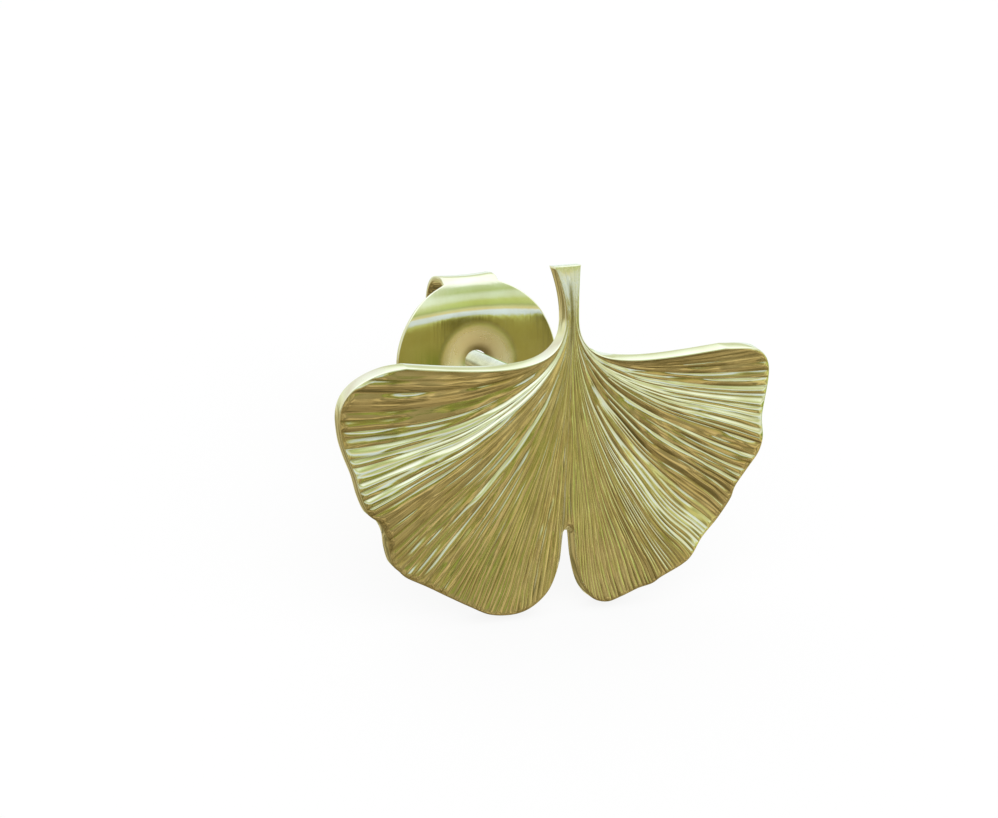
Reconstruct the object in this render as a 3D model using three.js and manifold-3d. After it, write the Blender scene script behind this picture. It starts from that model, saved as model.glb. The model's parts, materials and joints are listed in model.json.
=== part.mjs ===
// A stud earring: a cast ginkgo leaf on a straight post, with a butterfly clutch on the post.
// Millimetres. Each piece is made in the leaf's own axes: X along the leaf's width, Y back along
// the post and Z up the stem, with the post's axis through the origin. The whole earring then
// leans back until its two lobes and the clutch's lower scroll rest on the table at Z = 0.

import * as THREE from 'three';
import { mergeVertices } from 'three/addons/utils/BufferGeometryUtils.js';
import Module from 'manifold-3d';

const wasm = await Module();
wasm.setup();

// Leaf: one casting, blade and stem together.
const LEAF_THICKNESS = 0.55;
const RIB_HEIGHT = 0.05;
const STEM_RIBS = 6;
const FIRST_FULL_RIB_ROW = 0.2;
const WAVE_GROWTH = 1.1;
const BACK_WAVE_GROWTH = 1.7;
const STEM_RECESS = 0.13;
const NECK_HEIGHT = 2.6;
const FAN_CENTRE = new THREE.Vector2(0.15, 1.7);
const STRAIGHT_AHEAD = new THREE.Vector3(0, -1, 0);

// The rows between which the thickness turns from straight ahead towards square to the waves, and
// how far it turns.
const FACING_FROM = 0.1;
const FACING_TO = 0.6;
const FACING_SHARE = 0.6;
const ROW_NUDGE = 0.02;

// Left and right side of the stem, from its cut end down to the neck: x, z.
const STEM_LEFT = [[-0.4, 4.12], [-0.07, 3.3], [-0.07, NECK_HEIGHT]];
const STEM_RIGHT = [[0.49, 4.15], [0.38, 3.4], [0.39, NECK_HEIGHT]];

// The free edge, from the left shoulder round both lobes and the notch to the right shoulder:
// x, z and how far the edge waves forward.
const MARGIN = [
  [-5.23, 1.43, 0.27], [-5.83, 1.36, 0.26], [-6.39, 1.16, 0.22], [-6.83, 0.86, 0.15],
  [-7.1, 0.48, 0.06], [-7.2, 0, -0.04], [-7.14, -0.62, -0.09], [-7.01, -1.12, -0.04],
  [-6.8, -1.73, 0.07], [-6.66, -2.35, 0.18], [-6.44, -2.88, 0.23], [-6.07, -3.22, 0.16],
  [-5.82, -3.68, 0.02], [-5.74, -4.15, -0.1], [-5.62, -4.61, -0.16], [-5.39, -4.87, -0.17],
  [-5.14, -5.1, -0.16], [-4.5, -5.45, -0.13], [-3.82, -5.85, -0.1], [-3.15, -6.23, -0.08],
  [-2.52, -6.55, -0.07], [-1.85, -6.65, -0.07], [-1.31, -6.57, -0.06], [-0.85, -6.31, -0.05],
  [-0.48, -5.9, -0.04], [-0.22, -5.2, -0.02], [-0.13, -4.44, 0], [-0.07, -4.12, 0],
  [0.1, -3.96, 0], [0.27, -4.12, 0], [0.32, -4.46, -0.01], [0.42, -5.26, -0.03],
  [0.65, -5.99, -0.05], [1.01, -6.45, -0.07], [1.51, -6.62, -0.08], [2.01, -6.5, -0.07],
  [2.59, -6.28, -0.03], [3.05, -6.16, 0.02], [3.36, -5.94, 0.1], [4.02, -5.61, 0.16],
  [4.38, -5.33, 0.17], [4.83, -4.79, 0.03], [5.43, -4.27, -0.1], [5.83, -3.61, 0.02],
  [5.95, -3.17, 0.11], [6.36, -2.62, 0.13], [6.74, -2.11, 0.15], [6.86, -1.6, 0.2],
  [6.85, -0.97, 0.12], [6.99, -0.45, 0.01], [7.16, 0.28, -0.07], [7.1, 0.77, -0.01],
  [6.82, 1.15, 0.1], [6.35, 1.35, 0.18], [5.38, 1.41, 0.24],
];

// Each vein drops straight out of the neck and is then pulled towards its place on the edge. The
// drop in millimetres and the pull as a share of its length are for a level vein, and the shares
// after them are for one that runs straight down.
const LEVEL_DROP = 1.7;
const LEVEL_PULL = 0.68;
const DOWNWARD_DROP = 0.33;
const DOWNWARD_PULL = 0.33;
const PULL_FALLOFF = 0.6;

// Points on each stretch of the edge between two margin points, and how much a step along a vein
// counts beside a step across it when ribs are spread along the edge.
const MARGIN_FINENESS = 40;
const ALONG_SHARE = 0.15;

// How far a vein's end swings up from the straight line to the fan's centre: angle of that line
// below level, swing, both in degrees.
const LEFT_SWING = [[4, 10], [12, 16], [18, 19], [24, 17], [30, 13], [42, 8], [59, 6], [75, 1], [90, 0]];
const RIGHT_SWING = [[4, 9], [15, 10], [25, 9], [43, 10], [57, 15], [66, 10], [78, 3], [90, 0]];

// Rows of the blade from the stem's cut end (-1) over the neck (0) to the free edge (1), with how
// many times the ribs have forked by then.
const ROWS = [
  [-1, 0], [-0.66, 0], [-0.33, 0], [0, 0], [0.14, 0], [0.25, 1], [0.34, 1], [0.43, 2],
  [0.52, 2], [0.6, 3], [0.68, 3], [0.76, 4], [0.82, 4], [0.88, 4], [0.94, 4], [1, 4],
];

// Post: a straight pin soldered to the leaf's back.
const POST_RADIUS = 0.375;
const POST_END = 10.6;
const SOLDER_RADIUS = 0.55;
const SOLDER_WAIST = 0.45;
const SOLDER_LENGTH = 0.2;
const GROOVE_AT = 9.95;
const GROOVE_LENGTH = 0.2;
const GROOVE_DEPTH = 0.06;
const TIP_LENGTH = 0.2;
const TIP_SHOULDER = 0.325;
const TIP_RADIUS = 0.24;
const SEAT_GAP = 0.02;

// Clutch: one stamped and curled sheet, a round pad with a scroll above and below the post.
const PAD_AT = 7.75;
const PAD_RADIUS = 3;
const PAD_THICKNESS = 0.2;
const PAD_EDGE = 0.05;
const HOLE_RADIUS = 0.47;
const HOLE_DEPTH = 0.3;
const PAD_BEND_FROM = 1.5;
const PAD_BEND_ANGLE = THREE.MathUtils.degToRad(27);
const PAD_BEND_BLEND = 0.5;
const SCROLL_THICKNESS = 0.24;
const SCROLL_WIDTH = 2.05;
const SCROLL_STEPS = 32;

// How far the clutch is turned on the post.
const CLUTCH_TURN = THREE.MathUtils.degToRad(-2.2);

// The pad sinks back into its hole: radius and depth on its front, and then on its rear.
const DISH_FRONT = [[HOLE_RADIUS, HOLE_DEPTH], [0.5, 0.2], [0.66, 0.1], [0.95, 0.04], [1.4, 0]];
const DISH_REAR = [[1.4, 0], [0.95, 0.04], [0.78, 0.08], [0.62, 0.1]];

// Rings of points on the pad, where it can bend.
const PAD_RINGS = [1.75, 2.2, 2.6];

// Middle line of the upper scroll, from inside the pad over the top and round to the post, and
// then curling inwards: y, z.
const SCROLL_LINE = [
  [8.21, 2.54], [8.43, 2.81], [8.9, 2.89], [9.5, 2.78], [9.95, 2.43], [10.19, 1.9], [10.15, 1.3],
  [9.85, 0.8], [9.4, 0.53], [8.95, 0.65], [8.65, 1.05], [8.66, 1.55], [9, 1.85], [9.35, 1.8],
];

// Joining leaves slivers thinner than this, which are closed up again.
const SLIVER = 0.002;

// Points closer than this are one point.
const MERGE_DISTANCE = 1e-5;

// Halvings of the angle between upright and lying when the resting lean is worked out.
const LEAN_HALVINGS = 40;

const GOLD = new THREE.MeshStandardMaterial({ color: 0xc0aa68, metalness: 1, roughness: 0.18 });

function readTable(table, value) {
  const last = table.length - 1;
  if (value <= table[0][0]) return table[0][1];
  if (value >= table[last][0]) return table[last][1];
  const next = table.findIndex(([key]) => key > value);
  const [lowKey, lowResult] = table[next - 1];
  const [highKey, highResult] = table[next];
  return THREE.MathUtils.mapLinear(value, lowKey, highKey, lowResult, highResult);
}

// The free edge as points for a list of stations from 0 to 1. Stations are spread by the
// distance across the veins, so few of them fall on the notch's walls, which the veins follow.
function marginAt(stations) {
  const curve = new THREE.CatmullRomCurve3(
    MARGIN.map(([x, z, forward]) => new THREE.Vector3(x, -forward, z)), false, 'catmullrom', 0.5);
  const fine = curve.getPoints(MARGIN.length * MARGIN_FINENESS);
  const spread = [0];
  for (let i = 1; i < fine.length; i++) {
    const step = new THREE.Vector2(fine[i].x - fine[i - 1].x, fine[i].z - fine[i - 1].z);
    const outward = new THREE.Vector2(fine[i].x, fine[i].z).sub(FAN_CENTRE).normalize();
    spread.push(spread[i - 1] + Math.abs(step.cross(outward)) + ALONG_SHARE * step.length());
  }
  const total = spread[spread.length - 1];
  return stations.map((station) => {
    const found = spread.findIndex((value) => value >= station * total);
    const after = found < 0 ? spread.length - 1 : Math.max(1, found);
    const share = (station * total - spread[after - 1]) / (spread[after] - spread[after - 1]);
    return fine[after - 1].clone().lerp(fine[after], THREE.MathUtils.clamp(share, 0, 1));
  });
}

// One vein: straight out of the neck, then bending to its own place on the free edge.
function veinCurve(station, end) {
  const start = new THREE.Vector3(
    THREE.MathUtils.lerp(STEM_LEFT[2][0], STEM_RIGHT[2][0], station), 0, NECK_HEIGHT);
  const side = end.x < FAN_CENTRE.x ? -1 : 1;
  const fall = Math.atan2(FAN_CENTRE.y - end.z, Math.abs(end.x - FAN_CENTRE.x));
  const swing = readTable(side < 0 ? LEFT_SWING : RIGHT_SWING, THREE.MathUtils.radToDeg(fall));
  const heading = fall - THREE.MathUtils.degToRad(swing);
  const length = Math.hypot(end.x - start.x, end.z - start.z);
  const steepness = Math.sin(fall);
  const drop = THREE.MathUtils.lerp(LEVEL_DROP, DOWNWARD_DROP * length, steepness);
  const pull = length * THREE.MathUtils.lerp(LEVEL_PULL, DOWNWARD_PULL, steepness ** PULL_FALLOFF);
  return new THREE.CubicBezierCurve3(
    start,
    new THREE.Vector3(start.x, 0, start.z - drop),
    new THREE.Vector3(end.x - side * Math.cos(heading) * pull, 0, end.z + Math.sin(heading) * pull),
    new THREE.Vector3(end.x, 0, end.z));
}

// A point of the smooth front, at station 0 to 1 across the ribs and row -1 to 1 along them. Its
// waves grow along a vein, and the stem's front runs back towards its cut end.
function frontPoint(vein, edgePoint, station, row, growth = WAVE_GROWTH) {
  if (row < 0) {
    const stemSide = (side) => new THREE.QuadraticBezierCurve(
      ...side.map(([x, z]) => new THREE.Vector2(x, z))).getPoint(row + 1);
    const across = stemSide(STEM_LEFT).lerp(stemSide(STEM_RIGHT), station);
    return new THREE.Vector3(across.x, STEM_RECESS * row * row, across.y);
  }
  const point = vein.getPoint(row);
  point.y = edgePoint.y * row ** growth;
  return point;
}

// The smooth front as a row of points, and the way from the back to each of them: straight ahead on
// the stem, and square to waves that grow more slowly than the front's further out.
function frontRow(row, columns) {
  const stations = Array.from({ length: columns + 1 }, (_, i) => i / columns);
  const edge = marginAt(stations);
  const nearbyRow = row > 0.5 ? row - ROW_NUDGE : row + ROW_NUDGE;
  return stations.map((station, i) => {
    const vein = veinCurve(station, edge[i]);
    return {
      point: frontPoint(vein, edge[i], station, row),
      calm: frontPoint(vein, edge[i], station, row, BACK_WAVE_GROWTH),
      nearby: frontPoint(vein, edge[i], station, nearbyRow, BACK_WAVE_GROWTH),
    };
  }).map((here, i, all) => {
    const across = all[Math.min(i + 1, columns)].calm.clone().sub(all[Math.max(i - 1, 0)].calm);
    const facing = here.nearby.clone().sub(here.calm).cross(across).normalize();
    if (facing.y > 0) facing.negate();
    const turned = FACING_SHARE * THREE.MathUtils.smoothstep(row, FACING_FROM, FACING_TO);
    facing.lerpVectors(STRAIGHT_AHEAD, facing, turned).normalize();
    return { point: here.point, facing };
  });
}

// Triangles between two rows of vertex numbers: row b has as many steps as row a, or twice.
function stitch(a, b) {
  const triangles = [];
  const fork = (b.length - 1) / (a.length - 1);
  for (let i = 0; i < a.length - 1; i++) {
    const first = b[i * fork];
    const middle = b[i * fork + 1];
    const last = b[(i + 1) * fork];
    triangles.push(a[i], first, middle);
    triangles.push(a[i], middle, a[i + 1]);
    if (fork === 2) triangles.push(middle, last, a[i + 1]);
  }
  return triangles;
}

function makeLeaf() {
  const positions = [];
  const front = [];
  const back = [];
  for (const [row, forks] of ROWS) {
    const columns = 2 * STEM_RIBS * 2 ** forks;
    const recess = row < 0 ? STEM_RECESS * row * row : 0;
    const fullRib = row < FIRST_FULL_RIB_ROW ? RIB_HEIGHT / 2 : RIB_HEIGHT;
    const ribHeight = row === 1 ? 0 : fullRib;
    const frontNumbers = [];
    const backNumbers = [];
    frontRow(row, columns).forEach(({ point, facing }, i) => {
      const onRib = i % 2 === 1;
      frontNumbers.push(positions.length / 3);
      positions.push(point.x, point.y - (onRib ? ribHeight : 0), point.z);
      backNumbers.push(positions.length / 3);
      positions.push(...point.addScaledVector(facing, recess - LEAF_THICKNESS).toArray());
    });
    front.push(frontNumbers);
    back.push(backNumbers);
  }
  const triangles = [];
  for (let r = 1; r < ROWS.length; r++) {
    triangles.push(...stitch(front[r - 1], front[r]));
    triangles.push(...stitch(back[r - 1], back[r]).reverse());
  }
  const rim = (rows) => [
    ...rows.map((numbers) => numbers[0]),
    ...rows[rows.length - 1].slice(1),
    ...rows.slice(0, -1).reverse().map((numbers) => numbers[numbers.length - 1]),
    ...rows[0].slice(0, -1).reverse(),
  ];
  triangles.push(...stitch(rim(front), rim(back)));
  const geometry = new THREE.BufferGeometry();
  geometry.setAttribute('position', new THREE.Float32BufferAttribute(positions, 3));
  geometry.setIndex(triangles);
  return geometry;
}

function makePost() {
  const base = LEAF_THICKNESS + SEAT_GAP;
  const profile = [
    [0, base], [SOLDER_RADIUS, base], [SOLDER_WAIST, base + SOLDER_LENGTH / 3],
    [POST_RADIUS, base + SOLDER_LENGTH], [POST_RADIUS, GROOVE_AT - GROOVE_LENGTH / 2],
    [POST_RADIUS - GROOVE_DEPTH, GROOVE_AT], [POST_RADIUS, GROOVE_AT + GROOVE_LENGTH / 2],
    [POST_RADIUS, POST_END - TIP_LENGTH], [TIP_SHOULDER, POST_END - TIP_LENGTH / 3],
    [TIP_RADIUS, POST_END], [0, POST_END],
  ];
  return new THREE.LatheGeometry(profile.map(([r, y]) => new THREE.Vector2(r, y)), 24);
}

function makePad() {
  const rear = PAD_AT + PAD_THICKNESS;
  const profile = [
    ...DISH_FRONT.map(([radius, depth]) => [radius, PAD_AT + depth]),
    ...PAD_RINGS.map((radius) => [radius, PAD_AT]),
    [PAD_RADIUS - PAD_EDGE, PAD_AT], [PAD_RADIUS, PAD_AT + PAD_EDGE],
    [PAD_RADIUS, rear - PAD_EDGE], [PAD_RADIUS - PAD_EDGE, rear],
    ...PAD_RINGS.map((radius) => [radius, rear]).reverse(),
    ...DISH_REAR.map(([radius, depth]) => [radius, rear + depth]),
    [HOLE_RADIUS, PAD_AT + HOLE_DEPTH],
  ];
  const pad = new THREE.LatheGeometry(profile.map(([r, y]) => new THREE.Vector2(r, y)), 48);
  const position = pad.getAttribute('position');
  for (let i = 0; i < position.count; i++) {
    const z = position.getZ(i);
    const past = Math.max(0, Math.abs(z) - PAD_BEND_FROM);
    const bent = past * past / (past + PAD_BEND_BLEND);
    position.setY(i, position.getY(i) + Math.tan(PAD_BEND_ANGLE) * bent);
    position.setZ(i, z - Math.sign(z) * (1 - Math.cos(PAD_BEND_ANGLE)) * bent);
  }
  return pad;
}

function makeScroll() {
  const line = new THREE.SplineCurve(SCROLL_LINE.map(([y, z]) => new THREE.Vector2(y, z)));
  const outside = [];
  const inside = [];
  for (let i = 0; i <= SCROLL_STEPS; i++) {
    const ahead = line.getTangent(i / SCROLL_STEPS);
    const aside = new THREE.Vector2(-ahead.y, ahead.x).multiplyScalar(SCROLL_THICKNESS / 2);
    outside.push(line.getPoint(i / SCROLL_STEPS).add(aside));
    inside.unshift(line.getPoint(i / SCROLL_STEPS).sub(aside));
  }
  const strip = new THREE.ExtrudeGeometry(
    new THREE.Shape([...outside, ...inside]), { depth: SCROLL_WIDTH, bevelEnabled: false });
  strip.translate(0, 0, -SCROLL_WIDTH / 2);
  return strip.applyMatrix4(new THREE.Matrix4().makeBasis(
    new THREE.Vector3(0, 1, 0), new THREE.Vector3(0, 0, 1), new THREE.Vector3(1, 0, 0)));
}

function toSolid(geometry) {
  const bare = geometry.clone();
  bare.deleteAttribute('normal');
  bare.deleteAttribute('uv');
  const merged = mergeVertices(bare, MERGE_DISTANCE);
  return new wasm.Manifold(new wasm.Mesh({
    numProp: 3,
    vertProperties: new Float32Array(merged.getAttribute('position').array),
    triVerts: new Uint32Array(merged.getIndex().array),
  }));
}

function toGeometry(solid) {
  const mesh = solid.getMesh();
  const geometry = new THREE.BufferGeometry();
  geometry.setAttribute('position', new THREE.Float32BufferAttribute(mesh.vertProperties, 3));
  geometry.setIndex(Array.from(mesh.triVerts));
  return geometry;
}

function makeClutch() {
  const upper = makeScroll();
  const lower = upper.clone().rotateY(Math.PI);
  const joined = toSolid(makePad()).add(toSolid(upper)).add(toSolid(lower));
  return toGeometry(joined.simplify(SLIVER)).rotateY(CLUTCH_TURN);
}

// The lowest level that a geometry reaches when the earring leans back by an angle.
function lowestAt(geometry, lean) {
  const position = geometry.getAttribute('position');
  let lowest = Infinity;
  for (let i = 0; i < position.count; i++) {
    const level = position.getZ(i) * Math.cos(lean) - position.getY(i) * Math.sin(lean);
    lowest = Math.min(lowest, level);
  }
  return lowest;
}

// The lean at which the leaf and the clutch touch the table together.
function restingLean(leaf, clutch) {
  let upright = 0;
  let lying = Math.PI / 4;
  for (let i = 0; i < LEAN_HALVINGS; i++) {
    const middle = (upright + lying) / 2;
    if (lowestAt(leaf, middle) < lowestAt(clutch, middle)) upright = middle;
    else lying = middle;
  }
  return upright;
}

function named(name, geometry) {
  const mesh = new THREE.Mesh(geometry, GOLD.clone());
  mesh.name = name;
  geometry.computeVertexNormals();
  return mesh;
}

const leafGeometry = makeLeaf();
const clutchGeometry = makeClutch();
const lean = restingLean(leafGeometry, clutchGeometry);

const earring = new THREE.Group();
earring.add(named('leaf', leafGeometry), named('post', makePost()), named('clutch', clutchGeometry));
earring.rotation.x = -lean;

const part = new THREE.Group();
part.add(earring);
part.updateMatrixWorld(true);
const reach = new THREE.Box3().setFromObject(earring, true);
const middle = reach.getCenter(new THREE.Vector3());
earring.position.set(-middle.x, -middle.y, -reach.min.z);

export default part;
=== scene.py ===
import json
import math

import bpy
import numpy as np
from mathutils import Matrix, Vector


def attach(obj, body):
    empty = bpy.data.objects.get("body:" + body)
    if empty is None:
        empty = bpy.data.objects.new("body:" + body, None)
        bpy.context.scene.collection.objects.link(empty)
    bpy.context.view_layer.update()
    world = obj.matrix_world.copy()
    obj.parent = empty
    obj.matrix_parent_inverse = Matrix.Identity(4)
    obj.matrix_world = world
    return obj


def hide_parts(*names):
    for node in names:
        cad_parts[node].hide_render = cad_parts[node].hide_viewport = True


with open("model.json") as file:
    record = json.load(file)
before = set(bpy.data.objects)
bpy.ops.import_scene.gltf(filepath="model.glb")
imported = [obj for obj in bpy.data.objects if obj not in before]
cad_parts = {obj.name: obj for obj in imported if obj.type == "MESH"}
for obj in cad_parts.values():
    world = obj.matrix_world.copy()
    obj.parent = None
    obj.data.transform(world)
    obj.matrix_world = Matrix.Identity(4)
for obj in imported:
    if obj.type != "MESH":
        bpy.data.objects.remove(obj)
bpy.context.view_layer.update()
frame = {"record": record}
bpy.ops.object.select_all(action="DESELECT")

# The earring is modelled in millimetres in the leaf's own axes: X along the leaf's width, Y back
# along the post and Z up the stem, with the post's axis through the origin. It leans back on the
# table, and the frame says where the post's tip lies and which way the post points.
MM = 0.001
POST_END = 10.6
post_way = Vector(frame["record"]["behaviour"]["joints"][0]["axis"])
post_tip = Vector(frame["record"]["mounts"][0]["pos_m"])
lean = math.atan2(-post_way.z, post_way.y)
leaf_origin = post_tip - POST_END * MM * post_way
to_frame = Matrix.Translation(leaf_origin) @ Matrix.Rotation(-lean, 4, "X") @ Matrix.Scale(MM, 4)


# ---- leaf ----------------------------------------------------------------------------------
# The leaf is one gold casting, blade and stem together, from a mould with every rib cut in it.
# The ribs run out of the stem side by side, fork on their way to the free edge and fade just
# before it, where the casting was rounded over and polished.
LEAF_THICKNESS = 0.55
STEM_RECESS = 0.13
WAVE_GROWTH = np.array([[0, 1.1], [0.5, 1.1], [0.56, 2], [0.78, 2], [0.84, 1.3], [1, 1.1]])
BACK_WAVE_GROWTH = 1.7
NECK_HEIGHT = 2.6
FAN_CENTRE = np.array([0.15, 1.7])
STRAIGHT_AHEAD = np.array([0.0, -1.0, 0.0])
FACING_FROM = 0.1
FACING_TO = 0.6
FACING_SHARE = 0.6
ROW_NUDGE = 0.02
STATION_NUDGE = 0.02
MIDDLE_ROW = 0.5
STEM_LEFT = np.array([[-0.4, 4.16], [-0.07, 3.3], [-0.07, NECK_HEIGHT]])
STEM_RIGHT = np.array([[0.49, 4.19], [0.38, 3.4], [0.39, NECK_HEIGHT]])

# The free edge from the left shoulder round to the right one: x, z, and its wave forward.
MARGIN = np.array([
    [-5.23, 1.43, 0.27], [-5.83, 1.36, 0.26], [-6.39, 1.16, 0.22], [-6.83, 0.86, 0.15],
    [-7.1, 0.48, 0.06], [-7.2, 0, -0.04], [-7.14, -0.62, -0.09], [-7.01, -1.12, -0.04],
    [-6.8, -1.73, 0.07], [-6.66, -2.35, 0.18], [-6.44, -2.88, 0.23], [-6.07, -3.22, 0.16],
    [-5.82, -3.68, 0.02], [-5.74, -4.15, -0.1], [-5.62, -4.61, -0.14], [-5.39, -4.87, -0.145],
    [-5.14, -5.1, -0.135], [-4.5, -5.45, -0.115], [-3.82, -5.85, -0.095], [-3.15, -6.23, -0.08],
    [-2.52, -6.55, -0.07], [-1.85, -6.65, -0.07], [-1.31, -6.57, -0.06], [-0.85, -6.31, -0.05],
    [-0.48, -5.9, -0.04], [-0.22, -5.2, -0.02], [-0.13, -4.44, 0], [-0.07, -4.12, 0],
    [0.1, -3.96, 0], [0.27, -4.12, 0], [0.32, -4.46, -0.01], [0.42, -5.26, -0.03],
    [0.65, -5.99, -0.05], [1.01, -6.45, -0.07], [1.51, -6.62, -0.08], [2.01, -6.5, -0.07],
    [2.59, -6.28, -0.03], [3.05, -6.16, 0.02], [3.36, -5.94, 0.1], [4.02, -5.61, 0.16],
    [4.38, -5.33, 0.17], [4.83, -4.79, 0.03], [5.43, -4.27, -0.1], [5.83, -3.61, 0.02],
    [5.95, -3.17, 0.11], [6.36, -2.62, 0.13], [6.74, -2.11, 0.15], [6.86, -1.6, 0.2],
    [6.85, -0.97, 0.12], [6.99, -0.45, 0.01], [7.16, 0.28, -0.07], [7.1, 0.77, -0.01],
    [6.82, 1.15, 0.1], [6.35, 1.35, 0.18], [5.38, 1.41, 0.24],
])
MARGIN_FINENESS = 40
ALONG_SHARE = 0.15

# Veins: the drop out of the neck and the pull towards the edge, for a level and a falling vein,
# and how far a vein's end swings up from the line to the fan's centre, by that line's fall.
LEVEL_DROP = 1.7
LEVEL_PULL = 0.68
DOWNWARD_DROP = 0.33
DOWNWARD_PULL = 0.33
PULL_FALLOFF = 0.6
LEFT_SWING = np.array([[4, 10], [12, 16], [18, 19], [24, 17], [30, 13], [42, 8], [59, 6], [75, 1], [90, 0]])
RIGHT_SWING = np.array([[4, 9], [15, 10], [25, 9], [43, 10], [57, 15], [66, 10], [78, 3], [90, 0]])

# Ribs: how many reach the edge, and how wide and how steep they are there beside their
# neighbours, by their place from the left shoulder (0) round to the right one (1). Further in
# they are as steep as the last table says, in the rows before the change.
RIBS = 128
RIB_WIDTHS = np.array([[0, 1.8], [0.2, 1.7], [0.3, 1], [0.5, 0.85], [0.68, 0.75], [0.8, 1.3], [1, 1.6]])
RIB_DEPTHS = np.array([
    [0, 0.75], [0.07, 0.75], [0.12, 0.9], [0.2, 0.85], [0.245, 0.2], [0.3, 0.2], [0.34, 0.6],
    [0.37, 1.35], [0.5, 1.15], [0.6, 1.3], [0.66, 1.3], [0.7, 0.75], [0.75, 0.5], [0.79, 0.4],
    [0.815, 0.7], [0.85, 1.2], [0.88, 1.25], [0.95, 0.9], [1, 0.7],
])
INNER_RIB_DEPTHS = np.array([
    [0, 0.75], [0.07, 0.75], [0.12, 0.9], [0.2, 0.85], [0.245, 0.3], [0.3, 0.25], [0.34, 0.7],
    [0.37, 1.2], [0.5, 1], [0.6, 1.2], [0.66, 1.25], [0.85, 1.2], [0.88, 1.25], [0.95, 0.9], [1, 0.7],
])
DEPTH_CHANGE_FROM = 0.6
DEPTH_CHANGE_TO = 0.82
RIB_WIDTH_SPREAD = 0.35
RIB_HEIGHT_LEAST = 0.15
RIB_HEIGHT_SPREAD = 1.5
RIB_LENGTHS = 26
RIB_SKEW = (0.7, 1.4)
WIDTH_WINDOW = 17
BELOW_ONE = 0.9999
SEED = 7

# How far ribs meander on their way, on what grid (across, along), from which row they start to
# and from which they stop, and how many ribs beside the leaf's sides run straight.
MEANDER = 0.004
MEANDER_GRID = (24, 12)
MEANDER_BEGINS = (0.05, 0.3)
MEANDER_STOPS = (0.9, 1)
STRAIGHT_RIBS = 12

# The rows where ribs fork, from the last fork back to the first, the rise of a rib to its width
# from the finest ribs to the stem's, and how much of a rib stays under the two that it forks into.
FORK_ROWS = [0.62, 0.44, 0.29, 0.16, 0.07]
FORK_JITTER = 0.4
FORK_LENGTH = 0.12
RIB_RISE = [0.16, 0.17, 0.17, 0.15, 0.1, 0.08]
UNDER_SHARE = 0.4
RIB_LIMIT = 0.1
RIB_FADE = 0.012
RIBS_RUN_OUT = 0.3

# How much of the ribs the polish leaves on the stem, by row, and the painted shade down its middle,
# by row: how much shade is painted there, as if the middle lay in a groove.
STEM_POLISH = np.array([[-1, 0.25], [-0.5, 0.45], [0, 1]])
STEM_SHADE = np.array([[-0.75, 0], [-0.6, 0.8], [-0.5, 1], [0, 1], [0.08, 0.8], [0.14, 0]])
STEM_SHADE_STATION = 0.42
STEM_SHADE_WIDTH = 0.14

# Rows of the blade: from, to, how many, and how many points across. The back is smooth, so it
# needs few points across, except in the last rows, which have more by these factors.
ROW_BANDS = [(-1, 0, 16, 80), (0, 0.05, 5, 80), (0.05, 0.12, 6, 160), (0.12, 0.22, 8, 320),
             (0.22, 0.36, 10, 640), (0.36, 0.96, 42, 1280), (0.96, 1, 5, 1280)]
BACK_POINTS = 80
LAST_BACK_ROWS = np.array([2, 4, 8, 16, 16])
# The back's painted shade, from 0 to 1, the same all over.
BACK_PAINTED_SHADE = 0.3

# The rounded edge: its radius, its steps, how far in the front gives way to it, in radii, and the
# rows that are rounded at the stem's end.
EDGE_ROUNDING = 0.05
EDGE_STEPS = 4
EDGE_REACH = 3
STEM_ROUNDED = 0.12
STEM_OUT = np.array([0.0, 0.0, 1.0])

# The mould's draft leaves the top of the notch lower at the back: by how much, where (x, z), how
# far round that, and from which row on.
NOTCH_DRAFT = 0.27
NOTCH_TOP = np.array([0.1, -4.0])
NOTCH_REACH = 0.22
DRAFT_FROM = 0.9


def through(points, steps):
    """A smooth line through the points, with that many steps between each two."""
    ends = np.vstack([2 * points[0] - points[1], points, 2 * points[-1] - points[-2]])
    t = np.linspace(0, 1, steps, endpoint=False)[:, None]
    spans = []
    for a, b, c, d in zip(ends, ends[1:], ends[2:], ends[3:]):
        bends = (2 * b) + (c - a) * t + (2 * a - 5 * b + 4 * c - d) * t ** 2
        spans.append(0.5 * (bends + (3 * b - 3 * c + d - a) * t ** 3))
    return np.vstack(spans + [points[-1:]])


def smooth(value, low, high):
    t = np.clip((value - low) / (high - low), 0, 1)
    return t * t * (3 - 2 * t)


def unit(vectors):
    return vectors / np.linalg.norm(vectors, axis=-1)[..., None]


edge_line = through(MARGIN, MARGIN_FINENESS)
edge_steps = np.diff(edge_line[:, :2], axis=0)
edge_way_out = unit(edge_line[:-1, :2] - FAN_CENTRE)
crossing = np.abs(edge_steps[:, 0] * edge_way_out[:, 1] - edge_steps[:, 1] * edge_way_out[:, 0])
edge_spread = np.append(0, np.cumsum(crossing + ALONG_SHARE * np.linalg.norm(edge_steps, axis=1)))
edge_spread /= edge_spread[-1]


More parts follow.
